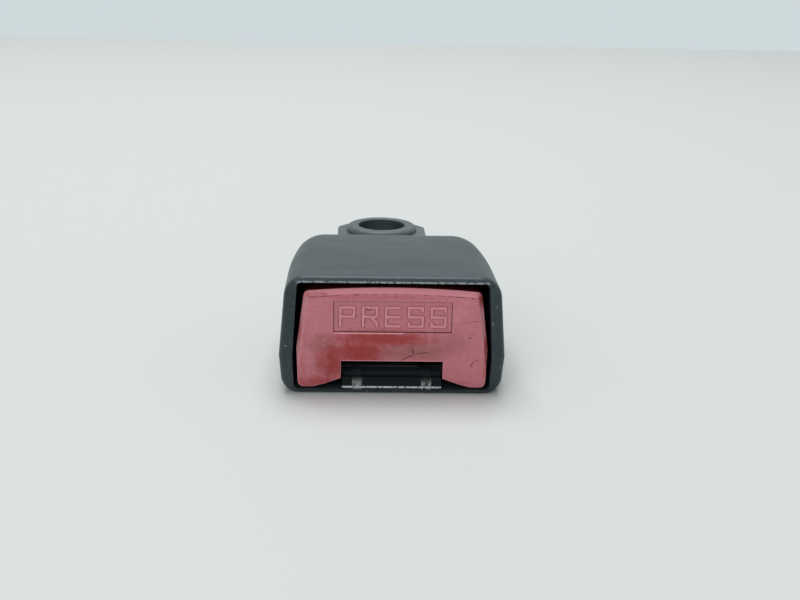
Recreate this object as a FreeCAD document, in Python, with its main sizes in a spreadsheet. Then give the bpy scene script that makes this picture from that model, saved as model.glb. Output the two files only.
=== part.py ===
"""End-release seat belt buckle on a rigid anchor strap.

A two-part moulded housing holds a steel channel with a latch, an ejector and a front release
button. A flat steel strap is riveted to the channel and ends in a flanged bush for the anchor bolt.
Millimetres. +Z is up, -Y is the front that takes the tongue. The origin is the centre of the
bolt hole, on the lower face of its bush. The pieces are drawn from the front face (y) and from the
surface that the housing lies on (z), and each Placement moves them to the origin.
"""
import FreeCAD, Part
import math
import os
import re
import Sketcher
from FreeCAD import Rotation, Vector

# Driving dimensions
SIZES = {
    # Housing
    "housing_width": 60.0,
    "housing_length": 72.0,
    "front_height": 32.5,
    "parting_height": 10.5,
    "top_slope": 2.9,
    "upper_draft": 4.8,
    "lower_draft": 5.0,
    "straight_side": 22.0,
    "tail_width": 51.0,
    "tail_corner": 24.0,
    "tail_radius": 22.0,
    "tail_turn": 62.0,
    "top_edge_radius": 6.0,
    "nose_radius": 2.0,
    "bottom_edge_radius": 4.8,
    "cover_wall": 2.0,
    "floor_thickness": 1.4,
    # Well that the button slides in
    "well_side_gap": 1.1,
    "well_top_gap": 1.7,
    "well_top_wall": 1.7,
    "well_depth": 26.0,
    "well_corner": 1.2,
    # Screws that close the housing
    "screw_frame_gap": 4.3,
    "screw_seat_gap": 3.4,
    "boss_radius": 2.6,
    "screw_radius": 1.5,
    "screw_head_radius": 2.7,
    "screw_head_height": 1.6,
    "screw_head_sink": 0.4,
    "screw_length": 14.0,
    "screw_clearance": 0.2,
    "screw_tip_room": 0.6,
    # Release button
    "face_recess": 0.8,
    "button_width": 50.7,
    "button_wide_height": 12.5,
    "button_top_width": 46.6,
    "button_bottom_width": 49.8,
    "button_shoulder": 28.0,
    "button_crown": 1.1,
    "button_floor_gap": 0.5,
    "button_corner": 1.5,
    "button_bevel": 1.2,
    "button_depth": 18.0,
    "face_thickness": 2.6,
    "skirt_wall": 1.8,
    "leg_flat": 4.0,
    "leg_rise": 2.0,
    "panel_width": 31.2,
    "panel_height": 8.5,
    "panel_bottom": 17.1,
    "panel_depth": 0.4,
    "button_travel": 5.0,
    # Tongue slot
    "slot_width": 27.2,
    "slot_clear_height": 4.1,
    "scoop_depth": 1.0,
    "scoop_side": 4.0,
    "scoop_rise": 4.8,
    "slot_wall": 1.7,
    "slot_lining": 3.6,
    # Arms and cams of the button
    "arm_clearance": 0.7,
    "arm_thickness": 3.6,
    "arm_bottom": 4.6,
    "arm_height": 7.4,
    "arm_reach": 38.0,
    "cam_top": 18.3,
    "cam_clearance": 0.25,
    "foot_length": 2.2,
    "foot_clearance": 0.5,
    "stop_clearance": 0.3,
    "stop_rib_thickness": 1.5,
    # Steel channel
    "frame_rib_height": 0.75,
    "frame_rib_width": 1.4,
    "frame_rib_spacing": 24.0,
    "frame_width": 36.0,
    "frame_sheet": 2.5,
    "frame_front": 10.0,
    "frame_rear_gap": 2.0,
    "frame_low_wall": 9.5,
    "frame_mid_wall": 17.2,
    "frame_bend": 2.4,
    "frame_corner": 8.5,
    "notch_margin": 0.45,
    "seat_tab_width": 10.0,
    "seat_tab_height": 6.0,
    "seat_tab_lead": 3.5,
    "seat_tab_thickness": 2.0,
    # Bridge over the latch
    "bridge_front": 32.0,
    "bridge_length": 8.0,
    "bridge_underside": 21.5,
    "bridge_sheet": 2.0,
    "tenon_length": 5.0,
    "tenon_proud": 0.5,
    "tenon_clearance": 0.1,
    # Latch
    "pivot_edge": 4.2,
    "pivot_height": 13.6,
    "pivot_radius": 1.6,
    "running_clearance": 0.05,
    "latch_side_clearance": 0.8,
    "latch_sheet": 3.0,
    "latch_underside": 11.0,
    "latch_flange_sheet": 2.4,
    "latch_flange_top": 18.0,
    "latch_flange_front": 25.2,
    "latch_eye_radius": 3.2,
    "latch_eye_reach": 6.0,
    "claw_front": 20.0,
    "claw_width": 12.0,
    "claw_gap": 0.35,
    "claw_bevel": 1.6,
    "cam_pin_setback": 28.0,
    "cam_pin_height": 15.6,
    "cam_pin_radius": 1.4,
    "cam_pin_length": 44.0,
    "latch_lift": 7.6,
    # Pivot pin and its clip
    "pin_head_radius": 2.6,
    "pin_head_height": 1.0,
    "pin_tail": 1.6,
    "clip_radius": 3.0,
    "clip_thickness": 0.6,
    # Ejector
    "ejector_front": 16.0,
    "ejector_arm_length": 10.0,
    "ejector_bridge": 8.0,
    "ejector_width": 27.0,
    "ejector_gap_width": 15.0,
    "ejector_height": 3.8,
    "ejector_hub_height": 5.6,
    "ejector_hub_width": 9.0,
    "ejector_clearance": 0.3,
    "rod_radius": 1.0,
    "rod_clearance": 0.3,
    "rod_height": 7.7,
    "rod_front": 37.5,
    "rod_head_radius": 1.8,
    "rod_head_height": 0.8,
    # Springs
    "spring_gap": 0.1,
    "button_spring_radius": 2.2,
    "button_spring_wire": 0.3,
    "button_spring_turns": 3.0,
    "button_spring_height": 8.3,
    "button_spring_length": 8.4,
    "spring_seat_thickness": 1.2,
    "latch_spring_radius": 3.0,
    "latch_spring_wire": 0.35,
    "latch_spring_turns": 3.0,
    "ejector_spring_radius": 1.9,
    "ejector_spring_wire": 0.3,
    "ejector_spring_turns": 5.0,
    # Tongue guide
    "guide_width": 26.4,
    "guide_front": 0.3,
    "guide_lip": 1.9,
    "guide_crest": 4.25,
    "guide_crest_setback": 1.8,
    "guide_rib_width": 2.7,
    "guide_rib_spacing": 18.4,
    "guide_rib_setback": 3.4,
    "guide_frame_gap": 0.3,
    # Anchor strap
    "strap_width": 33.0,
    "strap_sheet": 3.0,
    "strap_wall_gap": 0.8,
    "hole_setback": 150.5,
    "strap_side_end": 6.0,
    "strap_end": 14.5,
    "strap_end_width": 19.4,
    "strap_corner": 2.0,
    "strap_gate_clearance": 0.35,
    "strap_edge_chamfer": 0.4,
    "rivet_margin": 5.0,
    "rivet_spacing": 18.0,
    "rivet_radius": 2.4,
    "rivet_head_radius": 4.0,
    "rivet_head_height": 1.6,
    "rivet_sink": 1.1,
    "fit_clearance": 0.03,
    # Bush round the bolt hole
    "bolt_hole_radius": 8.63,
    "bush_wall": 1.9,
    "bush_flange_radius": 13.1,
    "bush_flange_height": 2.0,
    "bush_head_height": 2.3,
    "bush_edge_radius": 1.6,
    "bush_lip_radius": 0.5,
    "bush_seat_chamfer": 0.6,
}

# Heights, half widths and places that follow from the driving dimensions
DERIVED = {
    "half_width": "housing_width / 2",
    "bow": "(housing_width - tail_width) / 2",
    "bow_radius": "((housing_length - straight_side) ^ 2 + bow ^ 2) / (2 * bow)",
    "tail_start": "housing_length - tail_radius * (sin(tail_turn) - sin(top_slope))",
    "tail_start_height": "front_height - tail_start * tan(top_slope)",
    "well_top": "front_height - well_top_wall",
    "well_width": "button_width + 2 * well_side_gap",
    "well_top_width": "button_top_width + 2 * well_top_gap",
    "well_bottom_width": "button_bottom_width + 2 * well_side_gap",
    "frame_rear": "housing_length - cover_wall - frame_rear_gap",
    "rivet_setback": "frame_rear - rivet_margin",
    "strap_front": "rivet_setback - rivet_margin",
    "frame_wall_end": "strap_front - strap_wall_gap",
    "pivot_setback": "frame_wall_end - pivot_edge",
    "latch_plate_end": "pivot_setback - latch_eye_reach",
    "seat_tab_setback": "pivot_setback - seat_tab_lead",
    "spring_seat_setback": "arm_reach + button_spring_length + 2 * spring_gap",
    "screw_setback": "spring_seat_setback + screw_seat_gap",
    "screw_spacing": "frame_width + 2 * screw_frame_gap",
    "base_bottom": "floor_thickness + frame_rib_height",
    "base_top": "base_bottom + frame_sheet",
    "strap_top": "base_top + strap_sheet",
    "seat_height": "base_top - bush_flange_height",
    "slot_top": "base_top + slot_clear_height",
    "slot_half": "slot_width / 2",
    "lining_half": "slot_half + slot_wall",
    "button_bottom": "floor_thickness + button_floor_gap",
    "leg_inner_bottom": "button_bottom + leg_rise",
    "crown_radius": "((button_top_width / 2) ^ 2 + button_crown ^ 2) / (2 * button_crown)",
    "frame_half": "frame_width / 2",
    "frame_inner": "frame_half - frame_sheet",
    "arm_inner": "frame_half + arm_clearance",
    "arm_middle": "arm_inner + arm_thickness / 2",
    "arm_top": "arm_bottom + arm_height",
    "cam_lever": "pivot_setback - cam_pin_setback",
    "cam_offset": "cam_pin_height - pivot_height",
    "cam_pin_back": "cam_lever * (1 - cos(latch_lift)) + cam_offset * sin(latch_lift)",
    "cam_pin_up": "cam_lever * sin(latch_lift) - cam_offset * (1 - cos(latch_lift))",
    "cam_angle": "atan(cam_pin_up / (button_travel - cam_pin_back))",
    "cam_reach": "cam_pin_radius + cam_clearance",
    "cam_touch_y": "cam_pin_setback - cam_reach * sin(cam_angle)",
    "cam_touch_z": "cam_pin_height - cam_reach * cos(cam_angle)",
    "foot_bottom": "floor_thickness + foot_clearance",
    "bridge_top": "bridge_underside + bridge_sheet",
    "bridge_middle": "bridge_front + bridge_length / 2",
    "tenon_front": "bridge_middle - tenon_length / 2",
    "tenon_rear": "bridge_middle + tenon_length / 2",
    "latch_half": "frame_inner - latch_side_clearance",
    "latch_top": "latch_underside + latch_sheet",
    "latch_inside": "latch_half - latch_flange_sheet",
    "claw_tip": "base_top + claw_gap",
    "ejector_bridge_front": "ejector_front + ejector_arm_length",
    "ejector_rear": "ejector_bridge_front + ejector_bridge",
    "ejector_bottom": "base_top + ejector_clearance",
    "bush_radius": "bolt_hole_radius + bush_wall",
    "bush_height": "bush_flange_height + strap_sheet + bush_head_height",
}

doc = FreeCAD.newDocument("BeltBuckle")
sheet = doc.addObject("Spreadsheet::Sheet", "sizes")
for row, (name, size) in enumerate(SIZES.items(), start=1):
    sheet.set(f"A{row}", name)
    sheet.set(f"B{row}", str(size))
    sheet.setAlias(f"B{row}", name)
doc.recompute()
SUB_PARTS = []


# Helpers that bind sizes, places and sketches to the sheet
def bound(text):
    """The expression with every size read from the sheet and every derived value written out."""
    def swap(word):
        name = word.group()
        if name in DERIVED:
            return "(" + bound(DERIVED[name]) + ")"
        return "sizes." + name if name in SIZES else name
    return re.sub(r"[a-z_]+", swap, str(text))


def number(text):
    """The value of an expression as a plain number."""
    result = sheet.evalExpression(bound(text))
    return float(getattr(result, "Value", result))


def set_size(item, name, text):
    """Binds one property of an object to an expression."""
    item.setExpression(name, bound(text))


def sub_part(item, label, x="0", y="0", z="0"):
    """Names a finished piece and puts it, from front and underside, into the bolt hole's frame."""
    item.Label = label
    set_size(item, "Placement.Base.x", x)
    set_size(item, "Placement.Base.y", f"{y} - hole_setback")
    set_size(item, "Placement.Base.z", f"{z} - seat_height")
    SUB_PARTS.append(item)


def new_body(name):
    return doc.addObject("PartDesign::Body", name)


def new_sketch(body, plane, level="0"):
    """An empty sketch on one of the body's own planes, at a level along +X, +Y or +Z."""
    sketch = body.newObject("Sketcher::SketchObject", f"{body.Name}_sketch")
    origin_plane = [item for item in body.Origin.OriginFeatures if item.Role == plane][0]
    sketch.AttachmentSupport = [(origin_plane, "")]
    sketch.MapMode = "FlatFace"
    sign = "-" if plane == "XZ_Plane" else ""
    set_size(sketch, "AttachmentOffset.Base.z", f"{sign}({level})")
    return sketch


def pin_point(sketch, geometry, point, x, y):
    """Ties one point of the sketch to a place given by two expressions."""
    for kind, text in (("DistanceX", x), ("DistanceY", y)):
        index = sketch.addConstraint(Sketcher.Constraint(kind, -1, 1, geometry, point, number(text)))
        set_size(sketch, f"Constraints[{index}]", text)


def outline(sketch, points):
    """A closed outline. A point is (x, y), or (x, y, radius) where an arc arrives at it,
    turning left for a positive radius and right for a negative one."""
    places = [Vector(number(point[0]), number(point[1]), 0) for point in points]
    turns = [number(point[2]) if len(point) == 3 else 0 for point in points]
    first = sketch.GeometryCount
    for index, turn in enumerate(turns):
        start = places[index - 1]
        end = places[index]
        if turn == 0:
            sketch.addGeometry(Part.LineSegment(start, end))
            continue
        chord = end - start
        side = Vector(-chord.y, chord.x, 0).normalize() * math.copysign(1, turn)
        away = math.sqrt(max(turn ** 2 - (chord.Length / 2) ** 2, 0))
        middle = (start + end) / 2 + side * (away - abs(turn))
        ends = (start, end) if turn > 0 else (end, start)
        sketch.addGeometry(Part.Arc(ends[0], middle, ends[1]))
    for index, point in enumerate(points):
        here = first + index
        following = (index + 1) % len(points)
        arrival = 1 if turns[index] < 0 else 2
        departure = 2 if turns[following] < 0 else 1
        joint = Sketcher.Constraint("Coincident", here, arrival, first + following, departure)
        sketch.addConstraint(joint)
        pin_point(sketch, here, arrival, point[0], point[1])
        if turns[index] == 0:
            continue
        width = places[index].distanceToPoint(places[index - 1])
        if abs(width - 2 * abs(turns[index])) < 1e-6:
            sketch.addConstraint(Sketcher.Constraint("Symmetric", here, 1, here, 2, here, 3))
            continue
        constraint = sketch.addConstraint(Sketcher.Constraint("Radius", here, abs(turns[index])))
        set_size(sketch, f"Constraints[{constraint}]", point[2].lstrip("-"))


def mirrored_outline(sketch, right_side, crown=None):
    """A closed outline from its right half, listed upwards, and the same points mirrored. The
    crown is the radius of an arc that joins the two halves at the top."""
    left_side = []
    arc = (crown,) if crown else ()
    for index in range(len(right_side) - 1, -1, -1):
        x, y = right_side[index][:2]
        left_side.append((f"-({x})", y, *arc))
        arc = right_side[index][2:]
    outline(sketch, right_side + left_side)


def rectangle(sketch, left, right, low, high):
    outline(sketch, [(left, low), (right, low), (right, high), (left, high)])


def circle(sketch, x, y, radius):
    """A circle tied to the sheet by its centre and radius."""
    centre = Vector(number(x), number(y), 0)
    index = sketch.addGeometry(Part.Circle(centre, Vector(0, 0, 1), number(radius)))
    pin_point(sketch, index, 3, x, y)
    constraint = sketch.addConstraint(Sketcher.Constraint("Radius", index, number(radius)))
    set_size(sketch, f"Constraints[{constraint}]", radius)


def extrude(body, kind, sketch, length, backwards=False, both=False, taper=None):
    """A Pad or Pocket of a sketch. On an XZ sketch a backwards Pad and a plain Pocket run to +Y,
    and on an XY sketch a backwards Pocket cuts upwards."""
    feature = body.newObject(f"PartDesign::{kind}", f"{body.Name}_{kind.lower()}")
    feature.Profile = sketch
    feature.SideType = "Symmetric" if both else "One side"
    feature.Reversed = backwards
    set_size(feature, "Length", length)
    if taper:
        set_size(feature, "TaperAngle", taper)
    body.Tip = feature
    return feature


def pad(body, sketch, length, **how):
    return extrude(body, "Pad", sketch, length, **how)


def pocket(body, sketch, length, **how):
    return extrude(body, "Pocket", sketch, length, **how)


def dress(body, kind, size, chosen):
    """A Fillet or Chamfer on the edges of the body's last feature that the test chooses."""
    doc.recompute()
    last = body.Tip
    names = [f"Edge{n}" for n, edge in enumerate(last.Shape.Edges, start=1) if chosen(edge)]
    feature = body.newObject(f"PartDesign::{kind}", f"{body.Name}_{kind.lower()}")
    feature.Base = (last, names)
    set_size(feature, "Radius" if kind == "Fillet" else "Size", size)
    body.Tip = feature
    return feature


def middle_of(edge):
    return edge.valueAt((edge.FirstParameter + edge.LastParameter) / 2)


def runs_along(edge, axis):
    """True where an edge runs mainly along an axis (0, 1 or 2)."""
    ends = edge.Vertexes[-1].Point - edge.Vertexes[0].Point
    return ends.Length > 0.1 and abs(ends[axis]) > 0.9 * ends.Length


def lies_at(edge, axis, text, reach=0.02):
    """True where the whole edge lies at one level of an axis."""
    box = edge.BoundBox
    low = (box.XMin, box.YMin, box.ZMin)[axis]
    high = (box.XMax, box.YMax, box.ZMax)[axis]
    level = number(text)
    return low > level - reach and high < level + reach


# Outer form of the two covers, and the same form drawn smaller for the space inside them
def plan(body, inset):
    """Plan of the housing at its parting line: straight sides that bow in towards the tail."""
    sketch = new_sketch(body, "XY_Plane", "parting_height")
    side = f"half_width - {inset}"
    bow = f"bow_radius - {inset}"
    rear = f"housing_length - {inset}"
    tail = f"half_width - bow_radius + sqrt(({bow}) ^ 2 - ({rear} - straight_side) ^ 2)"
    mirrored_outline(sketch, [(side, "-3 * nose_radius"), (side, "straight_side"), (tail, rear, bow)])
    return sketch


def round_tail(body, inset):
    """Rounds the two rear corners."""
    def rear_corner(edge):
        return runs_along(edge, 2) and middle_of(edge).y > number("housing_length - tail_corner / 2")
    dress(body, "Fillet", f"tail_corner - {inset}", rear_corner)


def side_line(inset, front):
    """Side view of what is cut away above the upper cover: a straight slope, then the tail's fall."""
    radius = f"(tail_radius - {inset})"
    centre_y = "(tail_start - tail_radius * sin(top_slope))"
    centre_z = "(tail_start_height - tail_radius * cos(top_slope))"
    far = "housing_length + front_height"
    fall_end = f"{centre_z} + {radius} * cos(tail_turn)"
    return [
        ("-front_height", "0"),
        (front, "0"),
        (front, f"front_height - {inset} / cos(top_slope) - {front} * tan(top_slope)"),
        (f"{centre_y} + {radius} * sin(top_slope)", f"{centre_z} + {radius} * cos(top_slope)"),
        (f"{centre_y} + {radius} * sin(tail_turn)", fall_end, f"-{radius}"),
        (far, fall_end),
        (far, "2 * front_height"),
        ("-front_height", "2 * front_height"),
    ]


def upper_form(name, inset, front):
    """The upper half of the housing as a solid, cut square at the front and rounded on top."""
    body = new_body(name)
    pad(body, plan(body, inset), f"front_height - parting_height - {inset}", taper="-upper_draft")
    round_tail(body, inset)
    profile = new_sketch(body, "YZ_Plane")
    outline(profile, side_line(inset, front))
    pocket(body, profile, "2 * housing_width", both=True)
    front_y = number(front)
    low = number("parting_height") + 0.5
    fall = number(f"tail_start_height - tail_radius * (cos(top_slope) - cos(tail_turn))") - 1

    def top_rim(edge):
        box = edge.BoundBox
        if box.XLength > 4 * (box.YLength + box.ZLength):
            return middle_of(edge).y > number("housing_length - tail_corner") and box.ZMin > low
        return box.ZMin > fall and box.YMax > front_y + 0.1
    if inset == "0":
        dress(body, "Fillet", "top_edge_radius", top_rim)
    else:
        dress(body, "Chamfer", f"(2 - sqrt(2)) * (top_edge_radius - {inset})", top_rim)
    return body


def lower_form(name, inset, depth, front):
    """The lower half of the housing as a solid, cut square at the front."""
    body = new_body(name)
    pad(body, plan(body, inset), depth, backwards=True, taper="-lower_draft")
    round_tail(body, inset)
    profile = new_sketch(body, "YZ_Plane")
    rectangle(profile, "-housing_length", front, "-front_height", "front_height")
    pocket(body, profile, "2 * housing_width", both=True)
    return body


def add_well(body, right_side):
    """The well of the button, added to the core that hollows a cover."""
    sketch = new_sketch(body, "XZ_Plane", "-nose_radius")
    mirrored_outline(sketch, right_side)
    pad(body, sketch, "well_depth + 2 * nose_radius", backwards=True)


def both_sides(text):
    """The same distance to the right and to the left of the middle."""
    return (text, f"-({text})")


def screw_circles(body, level, radius):
    sketch = new_sketch(body, "XY_Plane", level)
    for x in both_sides("screw_spacing / 2"):
        circle(sketch, x, "screw_setback", radius)
    return sketch


def cut_of(name, base, tool):
    """One solid cut by another."""
    cut = doc.addObject("Part::Cut", name)
    cut.Base = base
    cut.Tool = tool
    return cut


def block(name, x, y, z):
    """A box between two ends along each axis."""
    box = doc.addObject("Part::Box", name)
    for axis, side, (low, high) in zip("xyz", ("Length", "Width", "Height"), (x, y, z)):
        set_size(box, f"Placement.Base.{axis}", low)
        set_size(box, side, f"({high}) - ({low})")
    return box


# Lower cover: a moulded tray with bosses for the screws, ribs that carry the channel, a stop in
# front of each foot of the button and a seat behind each of its springs
lower_skin = lower_form("lower_skin", "0", "parting_height", "0")
dress(lower_skin, "Fillet", "bottom_edge_radius",
      lambda edge: lies_at(edge, 2, "0") and not lies_at(edge, 1, "0"))
dress(lower_skin, "Fillet", "nose_radius",
      lambda edge: lies_at(edge, 1, "0") and not lies_at(edge, 2, "0")
      and not lies_at(edge, 2, "parting_height"))
pocket(lower_skin, screw_circles(lower_skin, "0", "screw_radius + screw_clearance"),
       "parting_height", backwards=True)
pocket(lower_skin, screw_circles(lower_skin, "0", "screw_head_radius + screw_clearance"),
       "screw_head_sink + screw_head_height", backwards=True)

lower_core = lower_form("lower_core", "cover_wall", "parting_height - floor_thickness", "well_depth")
add_well(lower_core, [("well_bottom_width / 2", "floor_thickness"), ("well_width / 2", "parting_height")])
dress(lower_core, "Fillet", "well_corner",
      lambda edge: runs_along(edge, 1) and lies_at(edge, 2, "floor_thickness")
      and edge.BoundBox.YMin < 0)
pocket(lower_core, screw_circles(lower_core, "floor_thickness", "boss_radius + screw_clearance"),
       "parting_height", backwards=True)
frame_ribs = new_sketch(lower_core, "XY_Plane", "floor_thickness")
for side in (1, -1):
    middle = f"({side}) * frame_rib_spacing / 2"
    rectangle(frame_ribs, f"{middle} - frame_rib_width / 2", f"{middle} + frame_rib_width / 2",
              "frame_front", "frame_rear")
pocket(lower_core, frame_ribs, "frame_rib_height", backwards=True)
stop_ribs = new_sketch(lower_core, "XY_Plane", "floor_thickness")
spring_seats = new_sketch(lower_core, "XY_Plane", "floor_thickness")
for side in (1, -1):
    inner = f"({side}) * arm_inner"
    outer = f"({side}) * (arm_inner + arm_thickness)"
    rectangle(stop_ribs, inner, outer, "well_depth - stop_clearance - stop_rib_thickness",
              "well_depth - stop_clearance")
    rectangle(spring_seats, inner, outer, "spring_seat_setback",
              "spring_seat_setback + spring_seat_thickness")
pocket(lower_core, stop_ribs, "arm_bottom - stop_clearance - floor_thickness", backwards=True)
pocket(lower_core, spring_seats, "parting_height", backwards=True)
lower_shell = cut_of("lower_shell", lower_skin, lower_core)

gate_half = "strap_width / 2 + strap_gate_clearance"
gate_front = "housing_length - tail_corner / 2"
strap_gate = block("strap_gate", (f"-({gate_half})", gate_half), (gate_front, "2 * housing_length"),
                   ("base_top - strap_gate_clearance", "strap_top + strap_gate_clearance"))
lower_cover = cut_of("lower_cover", lower_shell, strap_gate)
sub_part(lower_cover, "lower_cover")

# Upper cover: a moulded lid with a boss for each screw
upper_skin = upper_form("upper_skin", "0", "0")
dress(upper_skin, "Fillet", "nose_radius",
      lambda edge: lies_at(edge, 1, "0") and not lies_at(edge, 2, "parting_height"))
screw_reach = "screw_head_sink + screw_head_height + screw_length - parting_height + screw_tip_room"
pocket(upper_skin, screw_circles(upper_skin, "parting_height", "screw_radius + fit_clearance"),
       screw_reach, backwards=True)
upper_core = upper_form("upper_core", "cover_wall", "well_depth")
add_well(upper_core, [("well_width / 2", "parting_height"), ("well_top_width / 2", "front_height")])
well_roof = new_sketch(upper_core, "YZ_Plane")
outline(well_roof, [
    ("-well_depth", "well_top + well_depth * tan(top_slope)"),
    ("2 * well_depth", "well_top - 2 * well_depth * tan(top_slope)"),
    ("2 * well_depth", "2 * front_height"),
    ("-well_depth", "2 * front_height"),
])
pocket(upper_core, well_roof, "2 * housing_width", both=True)
dress(upper_core, "Fillet", "well_corner",
      lambda edge: runs_along(edge, 1) and edge.BoundBox.YMin < 0
      and edge.BoundBox.ZMin > number("parting_height + well_corner"))
pocket(upper_core, screw_circles(upper_core, "parting_height", "boss_radius"),
       "front_height", backwards=True)
upper_cover = cut_of("upper_cover", upper_skin, upper_core)
sub_part(upper_cover, "upper_cover")

# Self-tapping screws that hold the covers together, put in from below
cover_screws = doc.addObject("Part::MultiFuse", "cover_screws")
screw_solids = []
for side, x in zip(("right", "left"), both_sides("screw_spacing / 2")):
    for name, radius, low, length in (
        ("head", "screw_head_radius", "screw_head_sink", "screw_head_height"),
        ("shank", "screw_radius", "screw_head_sink + screw_head_height", "screw_length"),
    ):
        solid = doc.addObject("Part::Cylinder", f"screw_{name}_{side}")
        set_size(solid, "Radius", radius)
        set_size(solid, "Height", length)
        set_size(solid, "Placement.Base.x", x)
        set_size(solid, "Placement.Base.y", "screw_setback")
        set_size(solid, "Placement.Base.z", low)
        screw_solids.append(solid)
cover_screws.Shapes = screw_solids
sub_part(cover_screws, "cover_screws")

# Frame: pressed steel channel with windows for the cam pin, tenons for the bridge and a lanced tab
frame = new_body("frame")
channel = new_sketch(frame, "XZ_Plane", "frame_front")
wall_top = "bridge_top + tenon_proud"
mirrored_outline(channel, [("frame_half", "base_bottom"), ("frame_half", wall_top),
                           ("frame_inner", wall_top), ("frame_inner", "base_top")])
pad(frame, channel, "frame_rear - frame_front", backwards=True)
dress(frame, "Fillet", "frame_bend",
      lambda edge: runs_along(edge, 1) and lies_at(edge, 2, "base_bottom"))
wall_line = new_sketch(frame, "YZ_Plane")
notch_floor = "cam_pin_height - cam_pin_radius - notch_margin"
notch_front = "cam_pin_setback - cam_pin_radius - notch_margin"
notch_rear = "cam_pin_setback + cam_pin_back + cam_pin_radius + notch_margin"
outline(wall_line, [
    ("-frame_front", "frame_low_wall"),
    ("frame_front + frame_low_wall - base_top", "frame_low_wall"),
    ("claw_front + frame_sheet", "frame_mid_wall"),
    (notch_front, "frame_mid_wall"),
    (notch_front, notch_floor),
    (notch_rear, notch_floor),
    (notch_rear, "bridge_underside"),
    ("tenon_front", "bridge_underside"),
    ("tenon_front", "3 * bridge_top"),
    ("-frame_front", "3 * bridge_top"),
])
outline(wall_line, [
    ("tenon_rear", "3 * bridge_top"),
    ("tenon_rear", "bridge_underside"),
    ("bridge_front + bridge_length + frame_sheet", "bridge_underside"),
    ("bridge_front + bridge_length + 2 * frame_sheet", "frame_mid_wall"),
    ("frame_wall_end", "frame_mid_wall"),
    ("frame_wall_end", "base_top"),
    ("2 * frame_rear", "base_top"),
    ("2 * frame_rear", "3 * bridge_top"),
])
pocket(frame, wall_line, "2 * frame_width", both=True)
rear_corners = new_sketch(frame, "XY_Plane", "base_bottom")
for side in (1, -1):
    outline(rear_corners, [
        (f"({side}) * frame_half", "frame_rear - frame_corner"),
        (f"({side}) * frame_half", "frame_rear"),
        (f"({side}) * (frame_half - frame_corner)", "frame_rear"),
    ])
pocket(frame, rear_corners, "frame_sheet", backwards=True)
pivot_holes = new_sketch(frame, "YZ_Plane")
circle(pivot_holes, "pivot_setback", "pivot_height", "pivot_radius + fit_clearance")
pocket(frame, pivot_holes, "2 * frame_width", both=True)
rivet_holes = new_sketch(frame, "XY_Plane", "base_bottom")
for x in both_sides("rivet_spacing / 2"):
    circle(rivet_holes, x, "rivet_setback", "rivet_radius + fit_clearance")
pocket(frame, rivet_holes, "frame_sheet", backwards=True)
dress(frame, "Chamfer", "rivet_sink",
      lambda edge: lies_at(edge, 2, "base_bottom") and edge.Curve.TypeId == "Part::GeomCircle")
tab_half = "seat_tab_width / 2"
lance = new_sketch(frame, "XY_Plane", "base_bottom")
rectangle(lance, f"-{tab_half}", tab_half, "seat_tab_setback - seat_tab_height", "seat_tab_setback")
pocket(frame, lance, "frame_sheet", backwards=True)
seat_tab = new_sketch(frame, "XY_Plane", "base_top")
rectangle(seat_tab, f"-{tab_half}", tab_half, "seat_tab_setback", "seat_tab_setback + seat_tab_thickness")
pad(frame, seat_tab, "seat_tab_height")
rod_hole = new_sketch(frame, "XZ_Plane", "seat_tab_setback")
circle(rod_hole, "0", "rod_height", "rod_radius + fit_clearance")
pocket(frame, rod_hole, "seat_tab_thickness")
sub_part(frame, "frame")

# Bridge: flat steel crosspiece that the latch spring pushes against, staked on the tenons
frame_bridge = new_body("frame_bridge")
bridge_plan = new_sketch(frame_bridge, "XY_Plane", "bridge_underside")
slot_in = "frame_inner - tenon_clearance"
mirrored_outline(bridge_plan, [
    ("frame_half", "bridge_front"),
    ("frame_half", "tenon_front - tenon_clearance"),
    (slot_in, "tenon_front - tenon_clearance"),
    (slot_in, "tenon_rear + tenon_clearance"),
    ("frame_half", "tenon_rear + tenon_clearance"),
    ("frame_half", "bridge_front + bridge_length"),
])
pad(frame_bridge, bridge_plan, "bridge_sheet")
sub_part(frame_bridge, "frame_bridge")

# Anchor strap: flat steel bar with clipped corners at its end
anchor_strap = new_body("anchor_strap")
strap_plan = new_sketch(anchor_strap, "XY_Plane", "base_top")
mirrored_outline(strap_plan, [
    ("strap_width / 2", "strap_front"),
    ("strap_width / 2", "hole_setback + strap_side_end"),
    ("strap_end_width / 2", "hole_setback + strap_end"),
])
pad(anchor_strap, strap_plan, "strap_sheet")
dress(anchor_strap, "Fillet", "strap_corner",
      lambda edge: runs_along(edge, 2) and middle_of(edge).y > number("hole_setback"))
dress(anchor_strap, "Chamfer", "strap_edge_chamfer", lambda edge: not runs_along(edge, 2))
strap_holes = new_sketch(anchor_strap, "XY_Plane", "base_top")
circle(strap_holes, "0", "hole_setback", "bush_radius + fit_clearance")
for x in both_sides("rivet_spacing / 2"):
    circle(strap_holes, x, "rivet_setback", "rivet_radius + fit_clearance")
pocket(anchor_strap, strap_holes, "strap_sheet", backwards=True)
sub_part(anchor_strap, "anchor_strap")

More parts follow.
